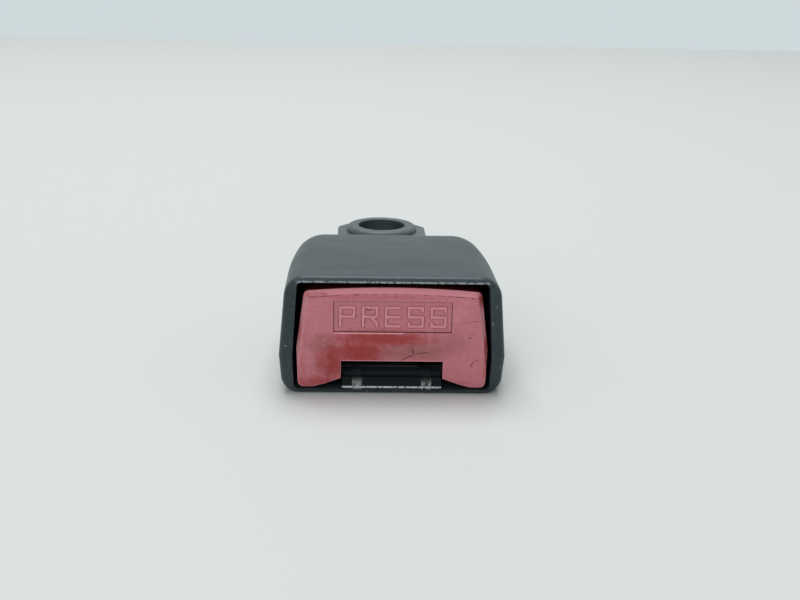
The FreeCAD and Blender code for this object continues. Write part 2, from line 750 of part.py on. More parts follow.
# Rivets: countersunk below, so that the channel lies flat, and round-headed on the strap
strap_rivets = doc.addObject("Part::MultiFuse", "strap_rivets")
rivet_solids = []
for side, x in zip(("right", "left"), both_sides("rivet_spacing / 2")):
    rivet = new_body(f"rivet_{side}")
    half_section = new_sketch(rivet, "XZ_Plane")
    shoulder = "base_bottom + rivet_sink"
    dome = "(rivet_head_radius ^ 2 + rivet_head_height ^ 2) / (2 * rivet_head_height)"
    outline(half_section, [
        ("0", "base_bottom"),
        ("rivet_radius + rivet_sink", "base_bottom"),
        ("rivet_radius", shoulder),
        ("rivet_radius", "strap_top"),
        ("rivet_head_radius", "strap_top"),
        ("0", "strap_top + rivet_head_height", dome),
    ])
    turned = rivet.newObject("PartDesign::Revolution", f"rivet_turn_{side}")
    turned.Profile = half_section
    turned.ReferenceAxis = (half_section, ["V_Axis"])
    turned.Angle = 360
    rivet.Tip = turned
    set_size(rivet, "Placement.Base.x", x)
    set_size(rivet, "Placement.Base.y", "rivet_setback")
    rivet_solids.append(rivet)
strap_rivets.Shapes = rivet_solids
sub_part(strap_rivets, "strap_rivets")

# Bush: flanged steel ring, pressed into the strap's end
anchor_bush = new_body("anchor_bush")
bush_section = new_sketch(anchor_bush, "XZ_Plane")
outline(bush_section, [
    ("bolt_hole_radius", "0"),
    ("bush_flange_radius", "0"),
    ("bush_flange_radius", "bush_flange_height"),
    ("bush_radius", "bush_flange_height"),
    ("bush_radius", "bush_flange_height + strap_sheet"),
    ("bush_flange_radius", "bush_flange_height + strap_sheet"),
    ("bush_flange_radius", "bush_height"),
    ("bolt_hole_radius", "bush_height"),
])
bush_turn = anchor_bush.newObject("PartDesign::Revolution", "bush_turn")
bush_turn.Profile = bush_section
bush_turn.ReferenceAxis = (bush_section, ["V_Axis"])
bush_turn.Angle = 360
anchor_bush.Tip = bush_turn
for kind, size, radius, level in (
    ("Fillet", "bush_edge_radius", "bush_flange_radius", "bush_height"),
    ("Fillet", "bush_lip_radius", "bolt_hole_radius", "bush_height"),
    ("Chamfer", "bush_seat_chamfer", "bush_flange_radius", "0"),
):
    dress(anchor_bush, kind, size,
          lambda edge: lies_at(edge, 2, level) and edge.Curve.TypeId == "Part::GeomCircle"
          and abs(edge.Curve.Radius - number(radius)) < 0.01)
sub_part(anchor_bush, "anchor_bush", y="hole_setback", z="seat_height")

# Tongue guide: moulded lead-in with two worn ribs, in front of the channel's floor
tongue_guide = new_body("tongue_guide")
guide_rear = "frame_front - guide_frame_gap"
ramp = new_sketch(tongue_guide, "YZ_Plane")
outline(ramp, [
    ("guide_front", "floor_thickness"),
    (guide_rear, "floor_thickness"),
    (guide_rear, "guide_crest"),
    ("guide_crest_setback", "guide_crest"),
    ("guide_front", "guide_lip"),
])
pad(tongue_guide, ramp, "guide_width", both=True)
for side in (1, -1):
    rib = new_sketch(tongue_guide, "YZ_Plane",
                     f"({side}) * guide_rib_spacing / 2 - guide_rib_width / 2")
    outline(rib, [
        ("guide_front", "floor_thickness"),
        (guide_rear, "floor_thickness"),
        (guide_rear, "base_top"),
        ("guide_rib_setback", "base_top"),
        ("guide_front", "guide_lip"),
    ])
    pad(tongue_guide, rib, "guide_rib_width")
sub_part(tongue_guide, "tongue_guide")

# Release button: moulded cap whose face fills the front, with a cam arm down each side
button = new_body("release_button")
face_shape = [
    ("slot_half", "leg_inner_bottom"),
    ("button_bottom_width / 2 - leg_flat", "button_bottom"),
    ("button_bottom_width / 2", "button_bottom"),
    ("button_width / 2", "button_wide_height"),
    ("button_top_width / 2", "button_shoulder"),
]
face = new_sketch(button, "XZ_Plane", "face_recess")
mirrored_outline(face, face_shape, crown="crown_radius")
pad(button, face, "button_depth", backwards=True)
dress(button, "Fillet", "button_corner",
      lambda edge: runs_along(edge, 1) and abs(middle_of(edge).x) > number("button_top_width / 2") - 0.1
      and (lies_at(edge, 2, "button_shoulder") or lies_at(edge, 2, "button_bottom"))
      and abs(middle_of(edge).x) > number("button_bottom_width / 2 - leg_flat / 2"))
crown_edge = number("button_shoulder")
dress(button, "Chamfer", "button_bevel",
      lambda edge: lies_at(edge, 1, "face_recess") and edge.BoundBox.ZMin > crown_edge - 0.2
      and edge.BoundBox.XLength > number("button_top_width / 2"))
hollow = new_sketch(button, "XZ_Plane", "face_recess + face_thickness")
mirrored_outline(hollow, [
    ("lining_half", "slot_top + slot_wall"),
    ("lining_half", "leg_inner_bottom + skirt_wall"),
    ("button_bottom_width / 2 - leg_flat", "button_bottom + skirt_wall"),
    ("button_bottom_width / 2 - skirt_wall", "button_bottom + skirt_wall"),
    ("button_width / 2 - skirt_wall", "button_wide_height"),
    ("button_top_width / 2 - skirt_wall", "button_shoulder - skirt_wall"),
])
pocket(button, hollow, "button_depth")
channel_room = new_sketch(button, "XZ_Plane", "face_recess + slot_lining")
channel_half = "frame_half + arm_clearance / 2"
rectangle(channel_room, f"-({channel_half})", channel_half, "-slot_top", "slot_top + 2 * slot_wall")
pocket(button, channel_room, "button_depth")
slot = new_sketch(button, "XZ_Plane", "0")
rectangle(slot, "-slot_half", "slot_half", "-slot_top", "slot_top")
pocket(button, slot, "button_depth + face_recess")
scoop_face = new_sketch(button, "XZ_Plane", "face_recess")
rectangle(scoop_face, "-(slot_half + scoop_side)", "slot_half + scoop_side", "-slot_top",
          "slot_top + scoop_rise")
scoop_throat = new_sketch(button, "XZ_Plane", "face_recess + scoop_depth")
rectangle(scoop_throat, "-slot_half", "slot_half", "-slot_top", "slot_top")
scoop = button.newObject("PartDesign::SubtractiveLoft", "scoop")
scoop.Profile = scoop_face
scoop.Sections = [scoop_throat]
scoop.Ruled = True
button.Tip = scoop
panel = new_sketch(button, "XZ_Plane", "face_recess")
rectangle(panel, "-panel_width / 2", "panel_width / 2", "panel_bottom", "panel_bottom + panel_height")
pocket(button, panel, "panel_depth")
cam_fall_end = "cam_touch_y + (cam_touch_z - arm_top) / tan(cam_angle)"
cam_rise_end = "cam_touch_y - (cam_top - cam_touch_z) / tan(cam_angle)"
arm_root = "face_recess + face_thickness / 2"
for level in ("arm_inner", "-(arm_inner + arm_thickness)"):
    arm = new_sketch(button, "YZ_Plane", level)
    outline(arm, [
        (arm_root, "arm_bottom"),
        ("well_depth", "arm_bottom"),
        ("well_depth", "foot_bottom"),
        ("well_depth + foot_length", "foot_bottom"),
        ("well_depth + foot_length", "arm_bottom"),
        ("arm_reach", "arm_bottom"),
        ("arm_reach", "arm_top"),
        (cam_fall_end, "arm_top"),
        (cam_rise_end, "cam_top"),
        (arm_root, "cam_top"),
    ])
    pad(button, arm, "arm_thickness")
sub_part(button, "release_button")

# Latch: pressed steel plate with a claw at the front and two eyed flanges
latch = new_body("latch")
plate = new_sketch(latch, "YZ_Plane")
rectangle(plate, "claw_front", "latch_plate_end", "latch_underside", "latch_top")
pad(latch, plate, "2 * latch_half", both=True)
claw = new_sketch(latch, "YZ_Plane")
outline(claw, [
    ("claw_front + claw_bevel", "claw_tip"),
    ("claw_front + latch_sheet", "claw_tip"),
    ("claw_front + latch_sheet", "latch_top"),
    ("claw_front", "latch_top"),
    ("claw_front", "claw_tip + claw_bevel"),
])
pad(latch, claw, "claw_width", both=True)
flange = new_sketch(latch, "YZ_Plane")
outline(flange, [
    ("latch_flange_front", "latch_underside"),
    ("latch_plate_end", "latch_underside"),
    ("pivot_setback", "pivot_height - latch_eye_radius"),
    ("pivot_setback", "pivot_height + latch_eye_radius", "latch_eye_radius"),
    ("latch_plate_end", "latch_flange_top"),
    ("latch_flange_front", "latch_flange_top"),
])
pad(latch, flange, "2 * latch_half", both=True)
for start, low in (("claw_front", "latch_top"), ("latch_plate_end", "0")):
    between = new_sketch(latch, "XZ_Plane", start)
    rectangle(between, "-latch_inside", "latch_inside", low, "2 * latch_flange_top")
    pocket(latch, between, "pivot_setback")
eyes = new_sketch(latch, "YZ_Plane")
circle(eyes, "pivot_setback", "pivot_height", "pivot_radius + running_clearance")
circle(eyes, "cam_pin_setback", "cam_pin_height", "cam_pin_radius + fit_clearance")
pocket(latch, eyes, "2 * frame_width", both=True)
sub_part(latch, "latch")


def add_bar(body, plane, level, x, y, radius, length):
    """A round bar from a level along +X or +Y."""
    sketch = new_sketch(body, plane, level)
    circle(sketch, x, y, radius)
    pad(body, sketch, length, backwards=plane == "XZ_Plane")


# Cam pin: steel cross pin through the latch's flanges, which the button's cams lift
cam_pin = new_body("latch_cam_pin")
add_bar(cam_pin, "YZ_Plane", "-cam_pin_length / 2", "0", "0", "cam_pin_radius", "cam_pin_length")
sub_part(cam_pin, "latch_cam_pin", y="cam_pin_setback", z="cam_pin_height")

# Pivot pin: headed steel pin through the channel's walls and the latch's eyes
pivot_pin = new_body("pivot_pin")
add_bar(pivot_pin, "YZ_Plane", "-(frame_half + pin_head_height)", "0", "0", "pin_head_radius",
        "pin_head_height")
add_bar(pivot_pin, "YZ_Plane", "-frame_half", "0", "0", "pivot_radius", "frame_width + pin_tail")
sub_part(pivot_pin, "pivot_pin", y="pivot_setback", z="pivot_height")

# Clip: spring steel ring on the pin's plain end
pivot_clip = new_body("pivot_clip")
clip_face = new_sketch(pivot_clip, "YZ_Plane", "frame_half + fit_clearance")
circle(clip_face, "0", "0", "clip_radius")
circle(clip_face, "0", "0", "pivot_radius + fit_clearance")
pad(pivot_clip, clip_face, "clip_thickness")
sub_part(pivot_clip, "pivot_clip", y="pivot_setback", z="pivot_height")

# Ejector: moulded slide, forked round the claw, that pushes the tongue out
ejector = new_body("ejector")
fork = new_sketch(ejector, "XY_Plane", "ejector_bottom")
mirrored_outline(fork, [
    ("ejector_gap_width / 2", "ejector_bridge_front"),
    ("ejector_gap_width / 2", "ejector_front"),
    ("ejector_width / 2", "ejector_front"),
    ("ejector_width / 2", "ejector_rear"),
])
pad(ejector, fork, "ejector_height")
hub = new_sketch(ejector, "XY_Plane", "ejector_bottom")
rectangle(hub, "-ejector_hub_width / 2", "ejector_hub_width / 2", "ejector_bridge_front + skirt_wall",
          "ejector_rear")
pad(ejector, hub, "ejector_hub_height")
rod_bore = new_sketch(ejector, "XZ_Plane", "ejector_bridge_front")
circle(rod_bore, "0", "rod_height", "rod_radius + rod_clearance")
pocket(ejector, rod_bore, "ejector_bridge")
sub_part(ejector, "ejector")

# Guide rod: steel pin riveted in the channel's tab, which keeps the ejector's spring straight
guide_rod = new_body("ejector_guide_rod")
tab_rear = "seat_tab_setback + seat_tab_thickness"
add_bar(guide_rod, "XZ_Plane", "rod_front", "0", "0", "rod_radius", f"{tab_rear} - rod_front")
add_bar(guide_rod, "XZ_Plane", tab_rear, "0", "0", "rod_head_radius", "rod_head_height")
sub_part(guide_rod, "ejector_guide_rod", z="rod_height")


def spring(label, coil_radius, wire, turns, length, x, y, z, lying):
    """A compression spring, upright or lying along +Y. Its wire has six sides, to keep it light."""
    body = new_body(label)
    section = new_sketch(body, "XZ_Plane")
    outline(section, [
        (f"{coil_radius} + {wire} * cos({turn})", f"{wire} + {wire} * sin({turn})")
        for turn in range(30, 390, 60)
    ])
    coil = body.newObject("PartDesign::AdditiveHelix", f"{label}_coil")
    coil.Profile = section
    coil.ReferenceAxis = (section, ["V_Axis"])
    coil.Mode = "height-turns-angle"
    set_size(coil, "Height", f"{length} - 2 * {wire}")
    set_size(coil, "Turns", turns)
    body.Tip = coil
    if lying:
        body.Placement.Rotation = Rotation(Vector(1, 0, 0), -90)
    sub_part(body, label, x, y, z)


# Springs: two push the button forward, one holds the latch down, one drives the ejector
for side, x in zip(("right", "left"), both_sides("arm_middle")):
    spring(f"button_spring_{side}", "button_spring_radius", "button_spring_wire",
           "button_spring_turns", "button_spring_length",
           x, "arm_reach + spring_gap", "button_spring_height", True)
spring("latch_spring", "latch_spring_radius", "latch_spring_wire", "latch_spring_turns",
       "bridge_underside - latch_top - 2 * spring_gap", "0", "bridge_middle",
       "latch_top + spring_gap", False)
spring("ejector_spring", "ejector_spring_radius", "ejector_spring_wire", "ejector_spring_turns",
       "seat_tab_setback - ejector_rear - 2 * spring_gap", "0", "ejector_rear + spring_gap",
       "rod_height", True)

# Check and write every sub-part
doc.recompute()
for item in doc.Objects:
    if "Invalid" in item.State or "Error" in item.State:
        raise RuntimeError(f"{item.Name} failed: {item.State}")
for item in SUB_PARTS:
    if item.Shape.isNull() or not item.Shape.isValid() or not item.Shape.Solids:
        raise RuntimeError(f"{item.Label} has no valid solid")
os.makedirs("parts", exist_ok=True)
for item in SUB_PARTS:
    item.Shape.exportStep(f"parts/{item.Label}.step")
    print(item.Label, "solids", len(item.Shape.Solids), "volume", round(item.Shape.Volume, 1))
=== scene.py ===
"""Looks of an end-release seat belt buckle on its anchor strap, lying unfastened on a pale table."""
import math

import bmesh
import bpy
from mathutils import Matrix, Vector


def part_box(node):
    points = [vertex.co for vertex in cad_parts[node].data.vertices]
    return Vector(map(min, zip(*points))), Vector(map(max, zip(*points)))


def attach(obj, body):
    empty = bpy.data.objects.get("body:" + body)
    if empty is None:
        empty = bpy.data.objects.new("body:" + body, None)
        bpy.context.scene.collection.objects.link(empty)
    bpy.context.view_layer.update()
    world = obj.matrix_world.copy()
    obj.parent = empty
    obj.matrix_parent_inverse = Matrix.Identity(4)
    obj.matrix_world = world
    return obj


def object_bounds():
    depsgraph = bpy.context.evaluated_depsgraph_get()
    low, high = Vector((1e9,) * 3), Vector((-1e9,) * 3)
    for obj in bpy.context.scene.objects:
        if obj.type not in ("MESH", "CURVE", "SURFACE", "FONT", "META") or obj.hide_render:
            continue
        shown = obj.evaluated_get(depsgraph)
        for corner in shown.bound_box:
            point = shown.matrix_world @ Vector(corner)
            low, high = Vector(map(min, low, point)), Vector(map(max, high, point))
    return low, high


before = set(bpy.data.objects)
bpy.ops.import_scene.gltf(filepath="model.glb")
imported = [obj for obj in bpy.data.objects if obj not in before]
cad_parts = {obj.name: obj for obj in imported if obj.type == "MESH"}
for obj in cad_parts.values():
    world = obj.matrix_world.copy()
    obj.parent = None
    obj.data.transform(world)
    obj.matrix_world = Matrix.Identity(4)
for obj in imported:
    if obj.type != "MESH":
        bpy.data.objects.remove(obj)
cad_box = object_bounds()

# Camera of the photograph
# A phone held low in front of the buckle and a little above it, so that the button, the slope of
# the lid and the ring behind it all show.
CAMERA_PLACE = (-0.0105, -0.4614, 0.11945)
CAMERA_PITCH = math.radians(17.1)
CAMERA_YAW = math.radians(2.25)
CAMERA_ROLL = math.radians(1.27)
CAMERA_LENS = 56.25
CAMERA_SENSOR = 36

camera_data = bpy.data.cameras.new("camera")
camera_data.lens = CAMERA_LENS
camera_data.sensor_width = CAMERA_SENSOR
camera = bpy.data.objects.new("camera", camera_data)
bpy.context.scene.collection.objects.link(camera)
camera.matrix_world = (
    Matrix.Translation(CAMERA_PLACE)
    @ Matrix.Rotation(-CAMERA_YAW, 4, "Z")
    @ Matrix.Rotation(math.pi / 2 - CAMERA_PITCH, 4, "X")
    @ Matrix.Rotation(CAMERA_ROLL, 4, "Z")
)
bpy.context.scene.camera = camera

# Table
# A plain pale table top, level with the housing's underside. The pale room shows beyond it.
TABLE_COLOUR = (0.75, 0.775, 0.755, 1)
TABLE_ROUGHNESS = 0.6
TABLE_SHINE = 0.2
TABLE_REACH = 0.8


def new_material(name):
    """A material with its node tree and its Principled shader."""
    material = bpy.data.materials.new(name)
    material.use_nodes = True
    return material, material.node_tree, material.node_tree.nodes["Principled BSDF"]


def add_piece(mesh, name):
    """Puts a finished bmesh in the scene as an object at the origin."""
    data = bpy.data.meshes.new(name)
    mesh.to_mesh(data)
    mesh.free()
    piece = bpy.data.objects.new(name, data)
    bpy.context.scene.collection.objects.link(piece)
    return piece


table_mesh = bmesh.new()
bmesh.ops.create_grid(table_mesh, x_segments=1, y_segments=1, size=TABLE_REACH)
bmesh.ops.translate(table_mesh, verts=table_mesh.verts, vec=(0, 0, cad_box[0].z))
table = add_piece(table_mesh, "table")
table_material, _, table_shader = new_material("pale_table")
table_shader.inputs["Base Color"].default_value = TABLE_COLOUR
table_shader.inputs["Roughness"].default_value = TABLE_ROUGHNESS
table_shader.inputs["Specular IOR Level"].default_value = TABLE_SHINE
table.data.materials.append(table_material)

# Studio light
# One soft lamp above the buckle, one weaker one in front, and a pale room all round that shows and
# reflects more strongly than it lights.
ROOM_COLOUR = (0.78, 0.87, 0.9, 1)
ROOM_STRENGTH = 0.3
ROOM_REFLECTED = 0.8
# Name, place, width and power of each lamp
LAMPS = (
    ("lamp_above", (-0.1, 0.38, 1.6), 1.1, 19.0),
    ("lamp_front", (-0.35, -1.2, 0.75), 0.9, 5.2),
)

for name, place, width, power in LAMPS:
    lamp_data = bpy.data.lights.new(name, "AREA")
    lamp_data.size = width
    lamp_data.energy = power
    lamp = bpy.data.objects.new(name, lamp_data)
    lamp.location = place
    lamp.rotation_euler = (-Vector(place)).to_track_quat("-Z", "Y").to_euler()
    bpy.context.scene.collection.objects.link(lamp)

world = bpy.data.worlds.new("room")
world.use_nodes = True
bpy.context.scene.world = world
room = world.node_tree.nodes["Background"]
room.inputs["Color"].default_value = ROOM_COLOUR
rays = world.node_tree.nodes.new("ShaderNodeLightPath")
seen = world.node_tree.nodes.new("ShaderNodeMath")
seen.operation = "MAXIMUM"
world.node_tree.links.new(rays.outputs["Is Camera Ray"], seen.inputs[0])
world.node_tree.links.new(rays.outputs["Is Glossy Ray"], seen.inputs[1])
room_level = world.node_tree.nodes.new("ShaderNodeMapRange")
room_level.inputs["To Min"].default_value = ROOM_STRENGTH
room_level.inputs["To Max"].default_value = ROOM_REFLECTED
world.node_tree.links.new(seen.outputs[0], room_level.inputs["Value"])
world.node_tree.links.new(room_level.outputs[0], room.inputs["Strength"])

# Housing covers
# Upper and lower halves are moulded in black glass-filled nylon with a fine grain. Years of hands
# and clothes have scuffed the brow above the button and nicked the rim round it.
HOUSING_COLOUR = (0.013, 0.02, 0.023, 1)
# Pale colour of dust, also used for the painted reflection that lightens the top towards the rear
HOUSING_DUST_AND_REFLECTION = (0.2, 0.21, 0.2, 1)
HOUSING_SHEEN = (0.72, 0.88, 0.95, 1)
SCUFF_COLOUR = (0.34, 0.37, 0.38, 1)
RIM_DEPTH = 0.0008
BROW_LOW = 0.02812
BROW_HIGH = 0.0285
BROW_HALF_WIDTH = 0.0249
BROW_FADE = 0.00018
BROW_END_FADE = 0.0006
# How far behind the front the painted reflection starts lightening the top, and where it is full
REFLECTION_STARTS = 0.012
REFLECTION_FULL = 0.06
# Shares of dust, the painted reflection towards the rear, scuff colour and nicks laid over the black
CLOUD_SHARE = 0.07
POWDER_SHARE = 0.12
REAR_REFLECTION_SHARE = 0.1
SPECK_SHARE = 0.45
SCRATCH_SHARE = 0.35
WORN_SHARE = 0.3
NICK_SHARE = 0.6
# Nicks of the front's rim: x and z of both ends, and half width
HOUSING_NICKS = (
    (0.0262, 0.0178, 0.0264, 0.0168, 0.00014),
    (0.0270, 0.0222, 0.0272, 0.0217, 0.00014),
    (-0.0286, 0.0108, -0.0278, 0.0107, 0.00012),
    (-0.0070, -0.0020, -0.0060, -0.0021, 0.00016),
    (0.0002, -0.0022, 0.0008, -0.0022, 0.00014),
    (0.0031, -0.0021, 0.0044, -0.0023, 0.00018),
    (-0.0199, -0.0009, -0.0149, -0.0010, 0.00009),
    (0.0134, -0.0010, 0.0200, -0.0009, 0.00009),
)
# Cosine of the angle between the rounded normal and the true one where wear starts and is full
WEAR_STARTS = 0.995
WEAR_FULL = 0.9
# How far the noise rises while a chip or a scratched patch comes in
CHIP_FADE = 0.12
PATCH_FADE = 0.1
# Distance that a thin mark wavers by, and the shares of its half width where it starts and is full
WAVER = 0.0006
MARK_STARTS = 1.2
MARK_FULL = 0.6
# A half size in depth so large that depth doesn't count
ANY_DEPTH = 1000.0


def put(tree, socket, value):
    """Links a socket to an output, or sets it to a plain value."""
    if isinstance(value, bpy.types.NodeSocket):
        tree.links.new(value, socket)
    else:
        socket.default_value = value


def add_node(tree, kind, settings=None, **inputs):
    """A shader node with its settings. Inputs are given by name, or as i0, i1 and so on by number."""
    node = tree.nodes.new(kind)
    for key, value in (settings or {}).items():
        setattr(node, key, value)
    for key, value in inputs.items():
        numbered = key[0] == "i" and key[1:].isdigit()
        put(tree, node.inputs[int(key[1:]) if numbered else key.replace("_", " ")], value)
    return node


def maths(tree, operation, first, second=0.0):
    """The result of one math node."""
    return add_node(tree, "ShaderNodeMath", {"operation": operation}, i0=first, i1=second).outputs[0]


def times(tree, *factors):
    """The product of some values."""
    product = factors[0]
    for factor in factors[1:]:
        product = maths(tree, "MULTIPLY", product, factor)
    return product


def highest(tree, *values):
    """The highest of some values."""
    top = values[0]
    for value in values[1:]:
        top = maths(tree, "MAXIMUM", top, value)
    return top


def stretch(tree, value, low, high, start=0.0, end=1.0):
    """A value eased from one range to another."""
    settings = {"interpolation_type": "SMOOTHSTEP"}
    node = add_node(tree, "ShaderNodeMapRange", settings, Value=value, From_Min=low, From_Max=high,
                    To_Min=start, To_Max=end)
    return node.outputs["Result"]


def within(tree, value, low, high, fade):
    """1 between two levels, fading to 0 on both sides."""
    rise = stretch(tree, value, low - fade, low)
    fall = stretch(tree, value, high + fade, high)
    return times(tree, rise, fall)


def coats(tree, colour, *layers):
    """A colour with others laid over it in turn, each by its share."""
    for share, over in layers:
        mixed = add_node(tree, "ShaderNodeMix", {"data_type": "RGBA"}, i0=share, i6=colour, i7=over)
        colour = mixed.outputs[2]
    return colour


def place_on_piece(tree):
    """Object coordinates."""
    return add_node(tree, "ShaderNodeTexCoord").outputs["Object"]


def normal_of_piece(tree):
    """The surface's own normal."""
    return add_node(tree, "ShaderNodeNewGeometry").outputs["Normal"]


def axes_of(tree, vector):
    """The x, y and z of a vector."""
    return add_node(tree, "ShaderNodeSeparateXYZ", Vector=vector).outputs[:]


def noise(tree, place, scale, detail=2.0, roughness=0.5):
    """Noise over the piece, from 0 to 1."""
    node = add_node(tree, "ShaderNodeTexNoise", Vector=place, Scale=scale, Detail=detail,
                    Roughness=roughness)
    return node.outputs[0]


def bump(tree, height, distance, strength):
    """A normal from a height."""
    return add_node(tree, "ShaderNodeBump", Height=height, Distance=distance,
                    Strength=strength).outputs[0]


def ellipse(tree, place, x, z, half_width, half_height, angle=0.0):
    """How far a point of the front lies from an ellipse's middle: 1 on its edge."""
    settings = {"vector_type": "TEXTURE"}
    centred = add_node(tree, "ShaderNodeMapping", settings, Vector=place, Location=(x, 0.0, z),
                       Rotation=(0.0, angle, 0.0), Scale=(half_width, ANY_DEPTH, half_height))
    return add_node(tree, "ShaderNodeVectorMath", {"operation": "LENGTH"},
                    i0=centred.outputs[0]).outputs["Value"]


def strokes(tree, place, lines):
    """Thin marks on the front, each from one x, z to another with a half width, wavering a little."""
    waver = add_node(tree, "ShaderNodeTexNoise", Vector=place, Scale=900.0, Detail=2.0)
    bent = add_node(tree, "ShaderNodeVectorMath", {"operation": "MULTIPLY_ADD"}, i0=waver.outputs[1],
                    i1=(WAVER, WAVER, WAVER), i2=place).outputs[0]
    found = []
    for x1, z1, x2, z2, half_width in lines:
        away = ellipse(tree, bent, (x1 + x2 + WAVER) / 2, (z1 + z2 + WAVER) / 2,
                       math.hypot(x2 - x1, z2 - z1) / 2, half_width, -math.atan2(z2 - z1, x2 - x1))
        found.append(stretch(tree, away, MARK_STARTS, MARK_FULL))
    return highest(tree, *found)


def new_group(name, values, results):
    """A shader node group with named inputs and outputs, and its two end nodes."""
    group = bpy.data.node_groups.new(name, "ShaderNodeTree")
    for label, kind, default in values:
        socket = group.interface.new_socket(label, in_out="INPUT", socket_type=kind)
        if default is not None:
            socket.default_value = default
    for label, kind in results:
        group.interface.new_socket(label, in_out="OUTPUT", socket_type=kind)
    return group, group.nodes.new("NodeGroupInput").outputs, group.nodes.new("NodeGroupOutput").inputs


def use_group(tree, group, **inputs):
    """The outputs of a group placed in a material."""
    return add_node(tree, "ShaderNodeGroup", {"node_tree": group}, **inputs).outputs


def feed(tree, shader, colour, roughness, normal):
    """Gives a material's shader its colour, roughness and normal."""
    put(tree, shader.inputs["Base Color"], colour)
    put(tree, shader.inputs["Roughness"], roughness)
    put(tree, shader.inputs["Normal"], normal)


def finish_nodes(material, *nodes):
    """Gives CAD nodes their finished material."""
    for node in nodes:
        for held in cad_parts[node].material_slots:
            held.material = material


# Worn edges: where the surface turns sharply, broken up by noise
worn_edges, worn_in, worn_out = new_group(
    "worn_edges",
    [("Place", "NodeSocketVector", None), ("Width", "NodeSocketFloat", 0.0006),
     ("Scale", "NodeSocketFloat", 900.0), ("Amount", "NodeSocketFloat", 0.5)],
    [("Mask", "NodeSocketFloat")],
)
rounded = add_node(worn_edges, "ShaderNodeBevel", {"samples": 6}, Radius=worn_in["Width"])
turn = add_node(worn_edges, "ShaderNodeVectorMath", {"operation": "DOT_PRODUCT"},
                i0=rounded.outputs[0], i1=normal_of_piece(worn_edges)).outputs["Value"]
edge = stretch(worn_edges, turn, WEAR_STARTS, WEAR_FULL)
broken = noise(worn_edges, worn_in["Place"], worn_in["Scale"], detail=4.0, roughness=0.65)
kept = maths(worn_edges, "SUBTRACT", 1.0, worn_in["Amount"])
chips = add_node(worn_edges, "ShaderNodeMapRange", Value=broken, From_Min=kept,
                 From_Max=maths(worn_edges, "ADD", kept, CHIP_FADE)).outputs[0]
put(worn_edges, worn_out["Mask"], times(worn_edges, edge, chips))

# Grain: the fine even texture of a moulded surface, with scattered specks of dust and soft clouds
grain, grain_in, grain_out = new_group(
    "grain",
    [("Place", "NodeSocketVector", None), ("Scale", "NodeSocketFloat", 2600.0)],
    [("Height", "NodeSocketFloat"), ("Dust", "NodeSocketFloat"), ("Cloud", "NodeSocketFloat")],
)
pebbles = noise(grain, grain_in["Place"], grain_in["Scale"], detail=3.0, roughness=0.6)
put(grain, grain_out["Height"], pebbles)
specks = noise(grain, grain_in["Place"], scale=1700.0, detail=1.0, roughness=0.4)
put(grain, grain_out["Dust"], stretch(grain, specks, 0.72, 0.8))
clouds = noise(grain, grain_in["Place"], scale=70.0, detail=4.0, roughness=0.6)
put(grain, grain_out["Cloud"], stretch(grain, clouds, 0.35, 0.7))

# Scratches: long thin lines that run along one axis and fade in and out
scratches, scratches_in, scratches_out = new_group(
    "scratches",
    [("Place", "NodeSocketVector", None), ("Stretch", "NodeSocketVector", (60.0, 900.0, 900.0)),
     ("Turn", "NodeSocketVector", (0.0, 0.0, 0.0)), ("Amount", "NodeSocketFloat", 0.5)],
    [("Mask", "NodeSocketFloat")],
)
turned = add_node(scratches, "ShaderNodeMapping", Vector=scratches_in["Place"],
                  Rotation=scratches_in["Turn"], Scale=scratches_in["Stretch"]).outputs[0]
threads = noise(scratches, turned, scale=1.0, detail=1.0, roughness=0.4)
near_line = maths(scratches, "ABSOLUTE", maths(scratches, "SUBTRACT", threads, 0.5))
line = stretch(scratches, near_line, 0.012, 0.002)
patches = noise(scratches, scratches_in["Place"], scale=160.0, detail=1.0)
patch_low = maths(scratches, "SUBTRACT", 1.0, scratches_in["Amount"])
patch = add_node(scratches, "ShaderNodeMapRange", Value=patches, From_Min=patch_low,
                 From_Max=maths(scratches, "ADD", patch_low, PATCH_FADE)).outputs[0]
put(scratches, scratches_out["Mask"], times(scratches, line, patch))

housing_material, housing_tree, housing_shader = new_material("black_nylon")
place = place_on_piece(housing_tree)
across, along, up = axes_of(housing_tree, place)
front_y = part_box("upper_cover")[0].y
grained = use_group(housing_tree, grain, Place=place)
worn = use_group(housing_tree, worn_edges, Place=place, Width=0.0006, Amount=0.4)["Mask"]
lined = use_group(housing_tree, scratches, Place=place, Amount=0.44)["Mask"]
near_front = stretch(housing_tree, along, front_y + RIM_DEPTH * 2, front_y + RIM_DEPTH)
at_brow = within(housing_tree, up, BROW_LOW, BROW_HIGH, BROW_FADE)
in_width = within(housing_tree, across, -BROW_HALF_WIDTH, BROW_HALF_WIDTH, BROW_END_FADE)
rubbing = stretch(housing_tree, noise(housing_tree, place, scale=1700.0, detail=3.0, roughness=0.7),
                  0.36, 0.6)
brow = times(housing_tree, near_front, at_brow, in_width, rubbing)
nicks = times(housing_tree, strokes(housing_tree, place, HOUSING_NICKS), near_front, NICK_SHARE)
powder = stretch(housing_tree, noise(housing_tree, place, scale=1600.0, detail=3.0, roughness=0.7),
                 0.4, 0.75, 0.0, POWDER_SHARE)
